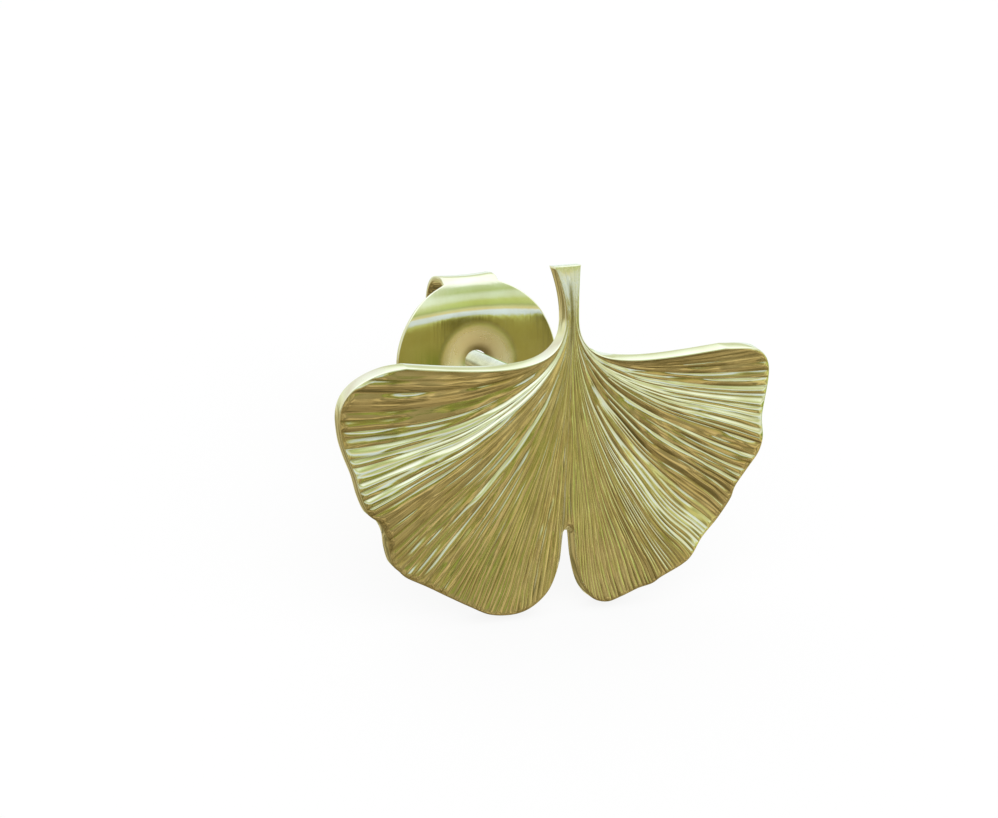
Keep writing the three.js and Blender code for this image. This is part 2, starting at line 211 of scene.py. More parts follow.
def front_surface(stations, rows, growth=None):
    """The smooth front, without ribs, at stations 0 to 1 across the fan and rows -1 to 1."""
    if growth is None:
        growth = np.interp(stations, *WAVE_GROWTH.T)
    edge = np.stack([np.interp(stations, edge_spread, edge_line[:, k]) for k in range(3)], axis=-1)
    start = STEM_LEFT[2] + (STEM_RIGHT[2] - STEM_LEFT[2]) * stations[..., None]
    away = edge[..., :2] - FAN_CENTRE
    side = np.where(away[..., 0] < 0, -1.0, 1.0)
    fall = np.arctan2(-away[..., 1], np.abs(away[..., 0]))
    left_swing = np.interp(np.degrees(fall), *LEFT_SWING.T)
    right_swing = np.interp(np.degrees(fall), *RIGHT_SWING.T)
    heading = fall - np.radians(np.where(side < 0, left_swing, right_swing))
    length = np.linalg.norm(edge[..., :2] - start, axis=-1)
    steepness = np.clip(np.sin(fall), 0, 1)
    drop = LEVEL_DROP + (DOWNWARD_DROP * length - LEVEL_DROP) * steepness
    pull = length * (LEVEL_PULL + (DOWNWARD_PULL - LEVEL_PULL) * steepness ** PULL_FALLOFF)
    first = start - np.stack([np.zeros_like(drop), drop], axis=-1)
    last_way = np.stack([side * np.cos(heading), -np.sin(heading)], axis=-1)
    second = edge[..., :2] - pull[..., None] * last_way
    t = np.clip(rows, 0, 1)[..., None]
    blade = (1 - t) ** 3 * start + 3 * (1 - t) ** 2 * t * first
    blade = blade + 3 * (1 - t) * t ** 2 * second + t ** 3 * edge[..., :2]
    s = np.clip(rows + 1, 0, 1)[..., None]
    sides = [(1 - s) ** 2 * line[0] + 2 * (1 - s) * s * line[1] + s ** 2 * line[2]
             for line in (STEM_LEFT, STEM_RIGHT)]
    stem = sides[0] + (sides[1] - sides[0]) * stations[..., None]
    flat = np.where(rows[..., None] < 0, stem, blade)
    back = STEM_RECESS * np.clip(rows, -1, 0) ** 2 - edge[..., 2] * np.clip(rows, 0, 1) ** growth
    return np.stack([flat[..., 0], back, flat[..., 1]], axis=-1)


def front_facing(stations, rows):
    """The way from back to front: straight ahead on the stem, turned to the waves further out."""
    inside = np.clip(stations, STATION_NUDGE, 1 - STATION_NUDGE)
    across = front_surface(inside + STATION_NUDGE, rows, BACK_WAVE_GROWTH)
    across = across - front_surface(inside - STATION_NUDGE, rows, BACK_WAVE_GROWTH)
    nearby = np.where(rows > MIDDLE_ROW, rows - ROW_NUDGE, rows + ROW_NUDGE)
    along = front_surface(inside, nearby, BACK_WAVE_GROWTH)
    along = along - front_surface(inside, rows, BACK_WAVE_GROWTH)
    facing = unit(np.cross(along, across))
    facing = np.where(facing[..., 1:2] > 0, -facing, facing)
    turned = FACING_SHARE * smooth(rows, FACING_FROM, FACING_TO)[..., None]
    return unit(STRAIGHT_AHEAD * (1 - turned) + facing * turned)


# Every rib is a little wider or narrower than the table says, and the widths add up to the fan.
draw = np.random.default_rng(SEED)
rib_places = (np.arange(RIBS) + 0.5) / RIBS
rib_shares = np.interp(rib_places, *RIB_WIDTHS.T)
rib_shares *= draw.uniform(1 - RIB_WIDTH_SPREAD, 1 + RIB_WIDTH_SPREAD, RIBS)
rib_edges = np.append(0, np.cumsum(rib_shares)) / rib_shares.sum()
fork_jitters = [draw.uniform(-1, 1, RIBS // 2 ** (level + 1)) for level in range(len(FORK_ROWS))]
rib_counts = [RIBS // 2 ** level for level in range(len(FORK_ROWS) + 1)]
rib_heights = [RIB_HEIGHT_LEAST + RIB_HEIGHT_SPREAD * draw.uniform(0, 1, (count, RIB_LENGTHS)) ** 2
               for count in rib_counts]
rib_skews = [draw.uniform(*RIB_SKEW, count) for count in rib_counts]
meanders = draw.uniform(-1, 1, MEANDER_GRID)


def between_rows(table, index, rows):
    """Values of a table that has one line for each rib and spreads it over the rows -1 to 1."""
    steps = np.clip((rows + 1) / 2, 0, BELOW_ONE) * (table.shape[1] - 1)
    step = steps.astype(int)
    share = smooth(steps - step, 0, 1)
    return table[index, step] * (1 - share) + table[index, step + 1] * share


def rib_station(ribs, rows):
    """Where a point of the rib pattern lies across the fan: ribs meander a little on their way."""
    straight = np.interp(ribs, np.arange(RIBS + 1), rib_edges)
    column = ribs / RIBS * (len(meanders) - 2)
    left = column.astype(int)
    share = smooth(column - left, 0, 1)
    from_left = between_rows(meanders, left, rows) * (1 - share)
    meander = from_left + between_rows(meanders, left + 1, rows) * share
    inside = np.minimum(smooth(ribs, 0, STRAIGHT_RIBS), smooth(RIBS - ribs, 0, STRAIGHT_RIBS))
    on_the_way = smooth(rows, *MEANDER_BEGINS) * (1 - smooth(rows, *MEANDER_STOPS))
    return straight + MEANDER * meander * inside * on_the_way


def forked(level, ribs, rows):
    """From 0 to 1 where the ribs of this level have grown out of the ones twice as wide."""
    if level == len(FORK_ROWS):
        return np.ones_like(ribs)
    parent = np.minimum((ribs // 2 ** (level + 1)).astype(int), len(fork_jitters[level]) - 1)
    fork = FORK_ROWS[level] * (1 + FORK_JITTER * fork_jitters[level][parent])
    return smooth(rows, fork - FORK_LENGTH / 2, fork + FORK_LENGTH / 2)


def rib_relief(ribs, rows, rib_width):
    """Height of the ribs over the smooth front, and from 0 to 1 how much painted shade a point gets,
    darkest deep in a groove.
    """
    relief = np.zeros_like(ribs)
    painted_shade = np.zeros_like(ribs)
    for level in range(len(FORK_ROWS), -1, -1):
        size = 2 ** level
        index = np.minimum((ribs // size).astype(int), RIBS // size - 1)
        place = np.clip(ribs / size - index, 0, 1) ** rib_skews[level][index]
        height = between_rows(rib_heights[level], index, rows)
        hump = np.sin(math.pi * place)
        grown = forked(level, ribs, rows)
        left_over = 1
        if level > 0:
            left_over = 1 - (1 - UNDER_SHARE) * forked(level - 1, ribs, rows)
        if level > 1:
            left_over = left_over * (1 - forked(level - 2, ribs, rows))
        relief += hump * height * RIB_RISE[level] * rib_width * size * grown * left_over
        # Painted shade, darkest deep between the ribs.
        painted_shade = painted_shade * (1 - grown) + np.minimum(height, 1) * (1 - hump) ** 2 * grown
    edge_share = smooth(rows, DEPTH_CHANGE_FROM, DEPTH_CHANGE_TO)
    edge_depth = np.interp(ribs / RIBS, *RIB_DEPTHS.T)
    inner_depth = np.interp(ribs / RIBS, *INNER_RIB_DEPTHS.T)
    relief *= edge_depth * edge_share + inner_depth * (1 - edge_share)
    relief *= np.interp(rows, *STEM_POLISH.T)
    painted_shade *= np.interp(rows, *STEM_POLISH.T)
    # Painted shade down the stem's middle, as if it lay in a groove.
    stem_streak_shade = np.exp(-((ribs / RIBS - STEM_SHADE_STATION) / STEM_SHADE_WIDTH) ** 2)
    painted_shade = np.maximum(painted_shade, stem_streak_shade * np.interp(rows, *STEM_SHADE.T))
    return RIB_LIMIT * (1 - np.exp(-relief / RIB_LIMIT)), painted_shade


rows = np.concatenate([np.linspace(a, b, n, endpoint=False) for a, b, n, _ in ROW_BANDS] + [[1.0]])
row_points = np.concatenate([[p] * n for _, _, n, p in ROW_BANDS] + [[ROW_BANDS[-1][3]]]).astype(int)


def outline(left_to_right):
    """The outline as one loop: down the left side, round the edge, up the right, over the stem."""
    left = [line[0] for line in left_to_right]
    right = [line[-1] for line in left_to_right[:-1]][::-1]
    return left + list(left_to_right[-1][1:]) + right + list(left_to_right[0][1:-1][::-1])


surfaces = []
facings = []
reliefs = []
painted_shades = []
rib_numbers = []
for row, points in zip(rows, row_points):
    ribs = np.linspace(0, RIBS, points + 1)
    row_here = np.full(points + 1, row)
    stations = rib_station(ribs, row_here)
    surface = front_surface(stations, row_here)
    along = surface - front_surface(stations, row_here - math.copysign(ROW_NUDGE, row))
    widths = np.linalg.norm(np.cross(np.diff(surface, axis=0), unit(along)[1:]), axis=1) * points / RIBS
    window = np.hanning(WIDTH_WINDOW)
    widths = np.pad(widths, WIDTH_WINDOW // 2, mode="edge")
    widths = np.convolve(widths, window / window.sum(), mode="valid")
    rib_width = np.interp(ribs, (ribs[1:] + ribs[:-1]) / 2, widths)
    relief, painted_shade = rib_relief(ribs, row_here, rib_width)
    surfaces.append(surface)
    facings.append(front_facing(stations, row_here))
    reliefs.append(relief * (1 - smooth(row_here, 1 - RIB_FADE, 1)))
    painted_shades.append(painted_shade)
    rib_numbers.append(ribs)

# The way out of the leaf at each point of its outline, square to the outline and to the facing.
outer_line = np.array(outline(surfaces))
outer_facing = np.array(outline(facings))
outer_along = np.roll(outer_line, -1, axis=0) - np.roll(outer_line, 1, axis=0)
way_out = unit(np.cross(outer_facing, unit(outer_along)))
if way_out[len(rows) // 2][0] > 0:
    way_out = -way_out
edge_count = len(surfaces[-1])
left_out = way_out[:len(rows)]
edge_out = way_out[len(rows) - 1:len(rows) - 1 + edge_count]
right_out = way_out[len(rows) - 2 + edge_count:][:len(rows)][::-1]

# The front draws in from its outline by the rounding, and its ribs run out in the rounding.
fronts = []
for number, (row, surface, ribs) in enumerate(zip(rows, surfaces, rib_numbers)):
    across = np.linalg.norm(surface[-1] - surface[0])
    from_left = np.linspace(0, 1, len(surface))
    reach = min(0.5, EDGE_REACH * EDGE_ROUNDING / across)
    pulls = np.stack([
        np.clip(1 - from_left / reach, 0, 1),
        np.clip(1 - (1 - from_left) / reach, 0, 1),
        np.full(len(surface), np.clip(1 - (1 - row) / RIB_FADE, 0, 1)),
        np.full(len(surface), np.clip(1 - (row + 1) / STEM_ROUNDED, 0, 1)),
    ])[..., None]
    nearest = (ribs / RIBS * (edge_count - 1)).astype(int)
    shift = pulls[0] * left_out[number] + pulls[1] * right_out[number]
    shift = (shift + pulls[2] * edge_out[nearest] + pulls[3] * STEM_OUT) / np.maximum(1, pulls.sum(axis=0))
    reliefs[number] = reliefs[number] * (1 - smooth(pulls.max(axis=0)[:, 0], RIBS_RUN_OUT, 1))
    fronts.append(surface - EDGE_ROUNDING * shift + facings[number] * reliefs[number][:, None])

vertices = []
rib_marks = []
painted_shade_marks = []


def add_points(points, ribs, rows, painted_shade=0):
    """Adds vertices to the leaf and gives their numbers."""
    start = len(vertices)
    vertices.extend(np.asarray(points).tolist())
    rib_marks.extend(zip(ribs, np.broadcast_to(rows, len(ribs))))
    painted_shade_marks.extend(np.broadcast_to(painted_shade, len(ribs)))
    return list(range(start, len(vertices)))


def stitch(fewer, more):
    """Faces between two rows of vertices, where the second has as many steps or twice as many."""
    if len(more) == len(fewer):
        return [(a, d, c, b) for a, b, c, d in zip(fewer, fewer[1:], more[1:], more)]
    faces = []
    for a, b, first, middle, last in zip(fewer, fewer[1:], more[::2], more[1::2], more[2::2]):
        faces += [(a, first, middle), (a, middle, b), (middle, last, b)]
    return faces


back_points = np.minimum(row_points, BACK_POINTS)
last_rows = slice(-len(LAST_BACK_ROWS), None)
back_points[last_rows] = np.minimum(BACK_POINTS * LAST_BACK_ROWS, row_points[last_rows])
front_numbers = []
back_numbers = []
for number, (row, ribs) in enumerate(zip(rows, rib_numbers)):
    front_numbers.append(add_points(fronts[number], ribs, row, painted_shades[number]))
    step = row_points[number] // back_points[number]
    thickness = LEAF_THICKNESS - STEM_RECESS * min(0, row) ** 2 + reliefs[number]
    back = fronts[number] - facings[number] * thickness[:, None]
    notch_share = np.exp(-np.sum((back[:, [0, 2]] - NOTCH_TOP) ** 2, axis=1) / NOTCH_REACH ** 2)
    back[:, 2] -= NOTCH_DRAFT * notch_share * smooth(row, DRAFT_FROM, 1)
    back_numbers.append(add_points(back[::step], ribs[::step], row, BACK_PAINTED_SHADE))
faces = []
for fewer, more in zip(front_numbers, front_numbers[1:]):
    faces += stitch(fewer, more)
for fewer, more in zip(back_numbers, back_numbers[1:]):
    faces += [face[::-1] for face in stitch(fewer, more)]

# The rounded edge: rings from the front's rim out to the outline and back in to the back's rim.
front_loop = outline(front_numbers)
back_loop = outline(back_numbers)
front_rim = np.array([vertices[n] for n in front_loop])
back_rim = np.array([vertices[n] for n in back_loop])
outwards = outer_line - front_rim
loop_ribs, loop_rows = np.array([rib_marks[n] for n in front_loop]).T
turns = np.linspace(0, math.pi / 2, EDGE_STEPS + 1)[1:]
rings = [front_loop]
for turn in turns:
    ring = front_rim + outwards * math.sin(turn) - outer_facing * EDGE_ROUNDING * (1 - math.cos(turn))
    rings.append(add_points(ring, loop_ribs, loop_rows))
for turn in turns[::-1]:
    ring = back_rim + outwards * math.sin(turn) + outer_facing * EDGE_ROUNDING * (1 - math.cos(turn))
    rings.append(add_points(ring, loop_ribs, loop_rows))
rings.append(back_loop)
for near, far in zip(rings, rings[1:]):
    faces += zip(near, np.roll(near, -1).tolist(), np.roll(far, -1).tolist(), far)

leaf_mesh = bpy.data.meshes.new("ginkgo_leaf")
leaf_mesh.from_pydata(vertices, [], faces)
leaf_mesh.validate()
leaf = bpy.data.objects.new("ginkgo_leaf", leaf_mesh)
bpy.context.collection.objects.link(leaf)
vein_map = leaf_mesh.uv_layers.new(name="veins")
corner_points = np.empty(len(leaf_mesh.loops), dtype=int)
leaf_mesh.loops.foreach_get("vertex_index", corner_points)
vein_map.data.foreach_set("uv", np.array(rib_marks)[corner_points].astype(np.float32).ravel())
# The painted shade, as an attribute of the leaf's points.
painted_shade_layer = leaf_mesh.attributes.new("painted_shade", "FLOAT", "POINT")
painted_shade_layer.data.foreach_set("value", np.array(painted_shade_marks, dtype=np.float32))
leaf_mesh.shade_smooth()
leaf_mesh.transform(to_frame)


def turn_faces_out(piece):
    """Points all faces of a piece outwards, and leaves it selected."""
    bpy.context.view_layer.objects.active = piece
    piece.select_set(True)
    bpy.ops.object.mode_set(mode="EDIT")
    bpy.ops.mesh.select_all(action="SELECT")
    bpy.ops.mesh.normals_make_consistent(inside=False)
    bpy.ops.object.mode_set(mode="OBJECT")


turn_faces_out(leaf)
leaf.select_set(False)
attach(leaf, "stud")
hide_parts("leaf")

# Gold finish, shared by the three pieces: clouds of slightly deeper gold, painted shade in the
# grooves, which the polishing wheel does not reach and which are also rougher, faint smudges, and
# fine lines left by the last polish.
CLOUD_SCALE = 0.9
CLOUD_DETAIL = 3
CLOUD_EDGES = (0.35, 0.65)
DEEPER_GOLD = (0.76, 0.65, 0.4, 1)
PALER_GOLD = (0.84, 0.74, 0.5, 1)
# Painted shade: the gold is multiplied towards this colour by the share of painted shade.
GROOVE_SHADE_COLOUR = (0.4, 0.37, 0.2, 1)
GROOVE_DULLNESS = 0.12
SMUDGE_SCALE = 2.4
SMUDGE_DETAIL = 5
SMUDGE_EDGES = (0.3, 0.7)
SMUDGE_ROUGHNESS = (0.04, 0.09)
LINE_DETAIL = 3


def put(tree, socket, value):
    """Gives an input a value, or links an output to it."""
    if isinstance(value, bpy.types.NodeSocket):
        tree.links.new(value, socket)
    else:
        socket.default_value = value


def scaled(tree, place, scale):
    node = tree.nodes.new("ShaderNodeMapping")
    put(tree, node.inputs["Vector"], place)
    put(tree, node.inputs["Scale"], scale)
    return node.outputs["Vector"]


def noise(tree, place, scale, detail):
    node = tree.nodes.new("ShaderNodeTexNoise")
    put(tree, node.inputs["Vector"], place)
    put(tree, node.inputs["Scale"], scale)
    put(tree, node.inputs["Detail"], detail)
    return node.outputs["Fac"]


def ranged(tree, value, low, high, to_low=0, to_high=1, way="LINEAR"):
    """A value moved from one range to another."""
    node = tree.nodes.new("ShaderNodeMapRange")
    node.interpolation_type = way
    for name, given_value in (("Value", value), ("From Min", low), ("From Max", high),
                              ("To Min", to_low), ("To Max", to_high)):
        put(tree, node.inputs[name], given_value)
    return node.outputs["Result"]


def worked_out(tree, operation, *values, clamp=False):
    """The outcome of a sum, kept between 0 and 1 where it is clamped."""
    node = tree.nodes.new("ShaderNodeMath")
    node.operation = operation
    node.use_clamp = clamp
    for socket, value in zip(node.inputs, values):
        put(tree, socket, value)
    return node.outputs["Value"]


def mixed(tree, share, first, second, way="MIX"):
    """Two colours mixed. The node's colours are its inputs 6 and 7 and its output 2."""
    node = tree.nodes.new("ShaderNodeMix")
    node.data_type = "RGBA"
    node.blend_type = way
    put(tree, node.inputs["Factor"], share)
    put(tree, node.inputs[6], first)
    put(tree, node.inputs[7], second)
    return node.outputs[2]


def attribute(tree, name):
    node = tree.nodes.new("ShaderNodeAttribute")
    node.attribute_name = name
    return node.outputs["Fac"]


gold_finish = bpy.data.node_groups.new("gold_finish", "ShaderNodeTree")
for name, kind in (("Place", "NodeSocketVector"), ("Lines", "NodeSocketVector"),
                   ("Painted Shade", "NodeSocketFloat"), ("Line Depth", "NodeSocketFloat")):
    gold_finish.interface.new_socket(name, in_out="INPUT", socket_type=kind)
for name, kind in (("Colour", "NodeSocketColor"), ("Roughness", "NodeSocketFloat"),
                   ("Normal", "NodeSocketVector")):
    gold_finish.interface.new_socket(name, in_out="OUTPUT", socket_type=kind)
given = gold_finish.nodes.new("NodeGroupInput").outputs
result = gold_finish.nodes.new("NodeGroupOutput").inputs

tint = gold_finish.nodes.new("ShaderNodeValToRGB")
for stop, level, colour in zip(tint.color_ramp.elements, CLOUD_EDGES, (DEEPER_GOLD, PALER_GOLD)):
    stop.position = level
    stop.color = colour
clouds = noise(gold_finish, given["Place"], CLOUD_SCALE, CLOUD_DETAIL)
put(gold_finish, tint.inputs["Fac"], clouds)
# Painted shade, by the share that the shade input gives.
groove_shaded = mixed(gold_finish, given["Painted Shade"], tint.outputs["Color"], GROOVE_SHADE_COLOUR, "MULTIPLY")
put(gold_finish, result["Colour"], groove_shaded)

smudges = noise(gold_finish, given["Place"], SMUDGE_SCALE, SMUDGE_DETAIL)
shine = ranged(gold_finish, smudges, *SMUDGE_EDGES, *SMUDGE_ROUGHNESS)
duller = worked_out(gold_finish, "MULTIPLY_ADD", given["Painted Shade"], GROOVE_DULLNESS, shine)
put(gold_finish, result["Roughness"], duller)

lines = gold_finish.nodes.new("ShaderNodeBump")
put(gold_finish, lines.inputs["Strength"], 1)
put(gold_finish, lines.inputs["Distance"], given["Line Depth"])
put(gold_finish, lines.inputs["Height"], noise(gold_finish, given["Lines"], 1, LINE_DETAIL))
put(gold_finish, result["Normal"], lines.outputs["Normal"])


def gold_material(name, line_depth, turn=0):
    """A material with the gold finish, with its place in millimetres and the finish's node."""
    material = bpy.data.materials.new(name)
    material.use_nodes = True
    tree = material.node_tree
    in_mm = tree.nodes.new("ShaderNodeMapping")
    put(tree, in_mm.inputs["Vector"], tree.nodes.new("ShaderNodeTexCoord").outputs["Object"])
    put(tree, in_mm.inputs["Rotation"], (turn, 0, 0))
    put(tree, in_mm.inputs["Scale"], (1 / MM, 1 / MM, 1 / MM))
    finish = tree.nodes.new("ShaderNodeGroup")
    finish.node_tree = gold_finish
    put(tree, finish.inputs["Place"], in_mm.outputs["Vector"])
    put(tree, finish.inputs["Line Depth"], line_depth * MM)
    shader = tree.nodes["Principled BSDF"]
    put(tree, shader.inputs["Metallic"], 1)
    for output, taken_by in (("Colour", "Base Color"), ("Roughness", "Roughness"), ("Normal", "Normal")):
        put(tree, shader.inputs[taken_by], finish.outputs[output])
    return material, in_mm.outputs["Vector"], finish


# Cast gold: the fine lines run along the veins, a few to a rib.
LINES_PER_RIB = 2.5
LINE_BREAKS = 9
CAST_LINE_DEPTH = 0.0024
cast_gold, _, finish = gold_material("cast_gold", CAST_LINE_DEPTH)
veins = cast_gold.node_tree.nodes.new("ShaderNodeUVMap")
veins.uv_map = "veins"
along_veins = scaled(cast_gold.node_tree, veins.outputs["UV"], (LINES_PER_RIB, LINE_BREAKS, 1))
put(cast_gold.node_tree, finish.inputs["Lines"], along_veins)
# The leaf's painted shade: in the grooves, down the stem's middle and over the back.
put(cast_gold.node_tree, finish.inputs["Painted Shade"], attribute(cast_gold.node_tree, "painted_shade"))
leaf_mesh.materials.append(cast_gold)


# ---- post ----------------------------------------------------------------------------------
# The post is a length of drawn gold wire with a groove near its end, where the clutch clicks in,
# and a rounded tip. It is soldered to the leaf's back in a small collar of solder.
POST_SECTIONS = [(0.55, 0.57), (0.53, 0.6), (0.45, 0.64), (0.4, 0.7), (0.375, 0.77), (0.375, 9.85),
                 (0.345, 9.88), (0.315, 9.93), (0.315, 9.97), (0.345, 10.02), (0.375, 10.05),
                 (0.375, 10.4), (0.36, 10.47), (0.325, 10.54), (0.24, 10.6)]
POST_SIDES = 64
SHARP_FROM = math.radians(50)


def extrude_ring(radius, along, next_radius, next_along, extrude):
    """Carries the selected ring on along the post's axis, to its next radius."""
    extrude(TRANSFORM_OT_translate={"value": (0, next_along - along, 0)})
    ratio = next_radius / radius
    bpy.ops.transform.resize(value=(ratio, 1, ratio), center_override=(0, next_along, 0))


bpy.ops.mesh.primitive_circle_add(
    vertices=POST_SIDES, radius=POST_SECTIONS[0][0], fill_type="NGON",
    location=(0, POST_SECTIONS[0][1], 0), rotation=(math.pi / 2, 0, 0))
post = bpy.context.object
post.name = "ear_post"
bpy.ops.object.transform_apply()
bpy.ops.object.mode_set(mode="EDIT")
bpy.ops.mesh.select_all(action="SELECT")
for section, next_section in zip(POST_SECTIONS, POST_SECTIONS[1:]):
    extrude_ring(*section, *next_section, bpy.ops.mesh.extrude_region_move)
bpy.ops.object.mode_set(mode="OBJECT")
turn_faces_out(post)
bpy.ops.object.shade_smooth_by_angle(angle=SHARP_FROM)
post.data.transform(to_frame)
post.select_set(False)
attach(post, "stud")
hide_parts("post")

# Drawn gold: the die leaves fine lines along the wire.
DRAWN_LINE_DEPTH = 0.001
DRAWN_LINES = (9, 0.5, 9)
drawn_gold, place, finish = gold_material("drawn_gold", DRAWN_LINE_DEPTH, lean)
put(drawn_gold.node_tree, finish.inputs["Lines"], scaled(drawn_gold.node_tree, place, DRAWN_LINES))
post.data.materials.append(drawn_gold)


# ---- clutch --------------------------------------------------------------------------------
# The butterfly clutch is stamped from one springy gold sheet: a round pad with a dished hole for
# the post, and a strip above and below that is rolled back into a scroll. The two scrolls press
# on the post between them.
PAD_RADIUS = 2.98
PAD_SPOKES = 90
PAD_CROWN = 0.04
PAD_BOW = 0.035
SHEET_THICKNESS = 0.2
SHEET_ROUNDING = 0.05
ROUNDING_STEPS = 3
ROUNDED_FROM = math.radians(60)
CLUTCH_TURN = math.radians(-2.2)

# The strip out of the pad: half its angle at the pad's rim, the step of its rows, and how far its
# edges lift, from where to where along it.
STRIP_HALF_ANGLE = 20
STRIP_HALF_WIDTH = PAD_RADIUS * math.sin(math.radians(STRIP_HALF_ANGLE))
STRIP_STEP = 0.16
STRIP_EDGE_LIFT = 0.04
LIFT_BEGINS = (PAD_RADIUS - 0.1, PAD_RADIUS + 0.4)
LENGTH_MARGIN = 0.01
ANGLE_MARGIN = 1

# The hole's dish, as radius and depth behind the pad, and rings on the pad where it can bend.
DISH = [(0.49, 0.23), (0.52, 0.18), (0.57, 0.14), (0.65, 0.108), (0.75, 0.084), (0.9, 0.058),
        (1.1, 0.03), (1.3, 0.007), (1.4, 0), (1.55, 0)]
PAD_RINGS = [1.7, 1.9, 2.1, 2.3, 2.5, 2.7, 2.85, 2.93, PAD_RADIUS]

# By radius: the dish, which is duller and painted paler as a painted reflection, and the hole's rim,
# which gets painted shade. All that lies further back than the pad belongs to the scrolls.
DISH_LIGHT_EDGE = (1.1, 1.6)
# Painted shade on the hole's rim: the radii over which it fades out, and how dark it is.
HOLE_RIM = (0.5, 0.9)
HOLE_SHADE = 0.75
PAD_BACK = 8.3

# The sheet's middle from the pad's centre up, over the top and round to the post: y, z.
SHEET_LINE = np.array([
    [7.85, 0], [7.85, 1.3], [7.851, 1.66], [7.862, 1.85], [7.897, 2.03], [7.967, 2.25],
    [8.029, 2.42], [8.118, 2.62], [8.23, 2.78], [8.45, 2.87], [8.92, 2.89], [9.5, 2.78],
    [9.95, 2.43], [10.19, 1.9], [10.15, 1.3], [9.85, 0.8], [9.4, 0.53], [8.95, 0.65],
    [8.65, 1.05], [8.66, 1.55], [9, 1.85], [9.35, 1.8],
])
SHEET_FINENESS = 24

sheet_curve = through(SHEET_LINE, SHEET_FINENESS)
sheet_steps = np.linalg.norm(np.diff(sheet_curve, axis=0), axis=1)
sheet_lengths = np.append(0, np.cumsum(sheet_steps))
sheet_ways = unit(np.gradient(sheet_curve, axis=0))

# The flat pattern: rings from the hole out to the pad's rim, and a strip out of the rim each way.
bpy.ops.mesh.primitive_circle_add(
    vertices=PAD_SPOKES, radius=DISH[0][0], location=(0, DISH[0][1], 0), rotation=(math.pi / 2, 0, 0))
clutch = bpy.context.object
clutch.name = "butterfly_clutch"
bpy.ops.object.transform_apply()
bpy.ops.object.mode_set(mode="EDIT")
bpy.ops.mesh.select_all(action="SELECT")
pad_sections = DISH + [(radius, 0) for radius in PAD_RINGS]
for section, next_section in zip(pad_sections, pad_sections[1:]):
    extrude_ring(*section, *next_section, bpy.ops.mesh.extrude_edges_move)
bpy.ops.object.mode_set(mode="OBJECT")

strip_steps = int((sheet_lengths[-1] - PAD_RADIUS) / STRIP_STEP)
for side in (1, -1):
    bpy.ops.object.mode_set(mode="EDIT")
    bpy.ops.mesh.select_all(action="DESELECT")
    bpy.ops.mesh.select_mode(type="EDGE")
    bpy.ops.object.mode_set(mode="OBJECT")
    for edge in clutch.data.edges:
        ends = [clutch.data.vertices[n].co for n in edge.vertices]
        on_rim = all(math.hypot(end.x, end.z) > PAD_RADIUS - LENGTH_MARGIN for end in ends)
        turns = [math.degrees(math.atan2(abs(end.x), end.z * side)) for end in ends]
        edge.select = on_rim and max(turns) < STRIP_HALF_ANGLE + ANGLE_MARGIN
    bpy.ops.object.mode_set(mode="EDIT")
    for step in range(strip_steps):
        bpy.ops.mesh.extrude_edges_move(TRANSFORM_OT_translate={"value": (0, 0, side * STRIP_STEP)})
        if step == 0:
            bpy.ops.transform.resize(value=(1, 1, 0))
    bpy.ops.object.mode_set(mode="OBJECT")

# The pattern bent to shape: the pad slightly crowned, and the strip's edges lifted by the rolling.
for vertex in clutch.data.vertices:
    flat = vertex.co.copy()
    length = abs(flat.z)
    y = np.interp(length + PAD_BOW * flat.x ** 2, sheet_lengths, sheet_curve[:, 0])
    z = np.interp(length, sheet_lengths, sheet_curve[:, 1])
    way_y, way_z = [np.interp(length, sheet_lengths, sheet_ways[:, k]) for k in range(2)]
    lift = STRIP_EDGE_LIFT * (flat.x / STRIP_HALF_WIDTH) ** 2 * smooth(length, *LIFT_BEGINS)
    crown = PAD_CROWN * min(1, (flat.x ** 2 + flat.z ** 2) / PAD_RADIUS ** 2)
    vertex.co = (flat.x, y + flat.y + crown - lift * way_z, math.copysign(z + lift * way_y, flat.z))

thicken = clutch.modifiers.new("sheet", "SOLIDIFY")
thicken.thickness = SHEET_THICKNESS
thicken.offset = 0
thicken.use_even_offset = True
bpy.ops.object.modifier_apply(modifier=thicken.name)
rounding = clutch.modifiers.new("deburred", "BEVEL")
rounding.width = SHEET_ROUNDING
rounding.segments = ROUNDING_STEPS
rounding.limit_method = "ANGLE"
rounding.angle_limit = ROUNDED_FROM
bpy.ops.object.modifier_apply(modifier=rounding.name)
turn_faces_out(clutch)
bpy.ops.object.shade_smooth_by_angle(angle=SHARP_FROM)
# Painted reflection on the dish, which is also duller; on the pad only.
dish_light_and_dullness_layer = clutch.data.attributes.new("dish_light_and_dullness", "FLOAT", "POINT")
# Painted shade at the hole's rim, on the pad only.
hole_shade_layer = clutch.data.attributes.new("painted_shade", "FLOAT", "POINT")
for number, vertex in enumerate(clutch.data.vertices):
    if vertex.co.y < PAD_BACK:
        radius = math.hypot(vertex.co.x, vertex.co.z)
        dish_light_and_dullness_layer.data[number].value = 1 - smooth(radius, *DISH_LIGHT_EDGE)
        hole_shade_layer.data[number].value = HOLE_SHADE * (1 - smooth(radius, *HOLE_RIM))
clutch.data.transform(to_frame @ Matrix.Rotation(CLUTCH_TURN, 4, "Y"))
clutch.select_set(False)
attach(clutch, "clutch")
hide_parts("clutch")

# Stamped gold: rolling lines along the strip, and the same gold as the rest. The dish is duller, as
# coining leaves it, and painted paler as a painted reflection; the hole's rim is rougher and gets painted
# shade.
STAMPED_LINE_DEPTH = 0.001
ROLLED_LINES = (7, 0.6, 0.6)
COINED_DULLNESS = 0.22
